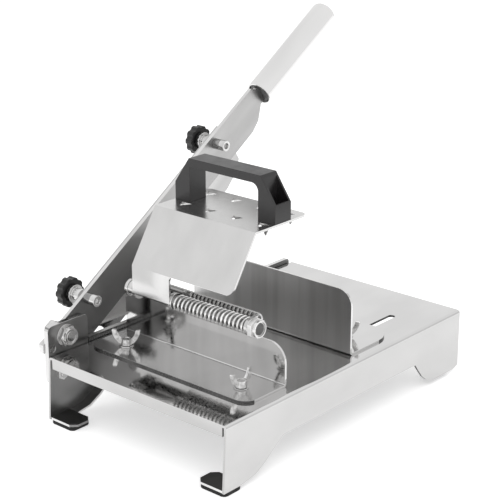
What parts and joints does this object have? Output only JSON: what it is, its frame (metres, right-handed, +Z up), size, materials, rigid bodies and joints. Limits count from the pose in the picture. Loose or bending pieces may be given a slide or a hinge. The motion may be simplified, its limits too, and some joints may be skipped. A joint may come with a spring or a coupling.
{
  "type": "frozen meat slicer",
  "caption": "Hand-worked slicer: steel table, swinging blade arm with tube grip, sliding guides and a spring-fed barbed pusher with a moulded handle.",
  "frame": {"origin": "centre of the base footprint, on the surface it stands on", "axes": "+X to the right along the front edge, +Y to the back, +Z up"},
  "size_m": [0.2309, 0.3832, 0.3084],
  "materials": {
    "steel": "mirror polished stainless sheet",
    "bolt_steel": "bright plated",
    "spring_steel": "bright wire",
    "blade_steel": "ground and polished",
    "black_plastic": "fine texture",
    "pad_rubber": "matt"
  },
  "bodies": {
    "base": {"base_plate": "steel", "foot_pads": "pad_rubber", "pivot_bracket": "steel", "bracket_screws": "bolt_steel", "bracket_nuts": "bolt_steel", "pivot_screw": "bolt_steel", "pivot_spacers": "bolt_steel", "pivot_nut": "bolt_steel", "arm_stop_screw": "bolt_steel", "blade_guide": "steel", "blade_guide_screws": "bolt_steel", "front_guide": "steel", "front_guide_bolts": "bolt_steel", "front_guide_washers": "bolt_steel", "feed_rod": "bolt_steel", "rod_stop_nut": "bolt_steel", "rod_washer": "bolt_steel", "rod_lock_nut": "bolt_steel", "feed_spring": "spring_steel"},
    "arm": {"blade_arm": "steel", "blade": "blade_steel", "clamp_screw_lower": "bolt_steel", "clamp_screw_upper": "bolt_steel", "clamp_collars": "bolt_steel", "knob_flanges": "bolt_steel", "grip_tube": "steel", "grip_plug": "black_plastic"},
    "lower_knob": {"knob_lower": "black_plastic"},
    "upper_knob": {"knob_upper": "black_plastic"},
    "feed_carriage": {"thrust_washers": "bolt_steel"},
    "pusher": {"pusher_plate": "steel", "pusher_handle": "black_plastic", "handle_screws": "bolt_steel"},
    "rear_slide": {"rear_guide": "steel", "rear_guide_bolts": "bolt_steel", "rear_guide_washers": "bolt_steel"},
    "nut_front_left": {"wing_nut_front_left": "bolt_steel"},
    "nut_front_right": {"wing_nut_front_right": "bolt_steel"},
    "nut_rear_left": {"wing_nut_rear_left": "bolt_steel"},
    "nut_rear_right": {"wing_nut_rear_right": "bolt_steel"}
  },
  "joints": [
    {"name": "arm_swing", "type": "hinge", "parent": "base", "child": "arm", "pos_m": [-0.1073, -0.139, 0.0745], "axis": [1, 0, 0], "range_deg": [-25, 45]},
    {"name": "lower_knob_turn", "type": "hinge", "parent": "arm", "child": "lower_knob", "pos_m": [-0.1234, -0.10781, 0.09714], "axis": [1, 0, 0], "continuous": true},
    {"name": "upper_knob_turn", "type": "hinge", "parent": "arm", "child": "upper_knob", "pos_m": [-0.1234, 0.05611, 0.20003], "axis": [1, 0, 0], "continuous": true},
    {"name": "pusher_feed", "type": "slide", "parent": "base", "child": "feed_carriage", "axis": [1, 0, 0], "range_m": [0, 0.04], "stiffness_N_per_m": 120, "springref_m": -0.02, "deforming": ["feed_spring"]},
    {"name": "pusher_tilt", "type": "hinge", "parent": "feed_carriage", "child": "pusher", "pos_m": [0, -0.0835, 0.1075], "axis": [1, 0, 0], "range_deg": [-25, 100]},
    {"name": "rear_guide_slide", "type": "slide", "parent": "base", "child": "rear_slide", "axis": [0, 1, 0], "range_m": [-0.023, 0.066]},
    {"name": "front_left_nut_turn", "type": "hinge", "parent": "base", "child": "nut_front_left", "pos_m": [-0.065, -0.1015, 0.07], "axis": [0, 0, 1], "continuous": true},
    {"name": "front_right_nut_turn", "type": "hinge", "parent": "base", "child": "nut_front_right", "pos_m": [0.065, -0.1015, 0.07], "axis": [0, 0, 1], "continuous": true},
    {"name": "rear_left_nut_turn", "type": "hinge", "parent": "rear_slide", "child": "nut_rear_left", "pos_m": [-0.062, 0.0385, 0.07], "axis": [0, 0, 1], "continuous": true},
    {"name": "rear_right_nut_turn", "type": "hinge", "parent": "rear_slide", "child": "nut_rear_right", "pos_m": [0.062, 0.0385, 0.07], "axis": [0, 0, 1], "continuous": true}
  ]
}
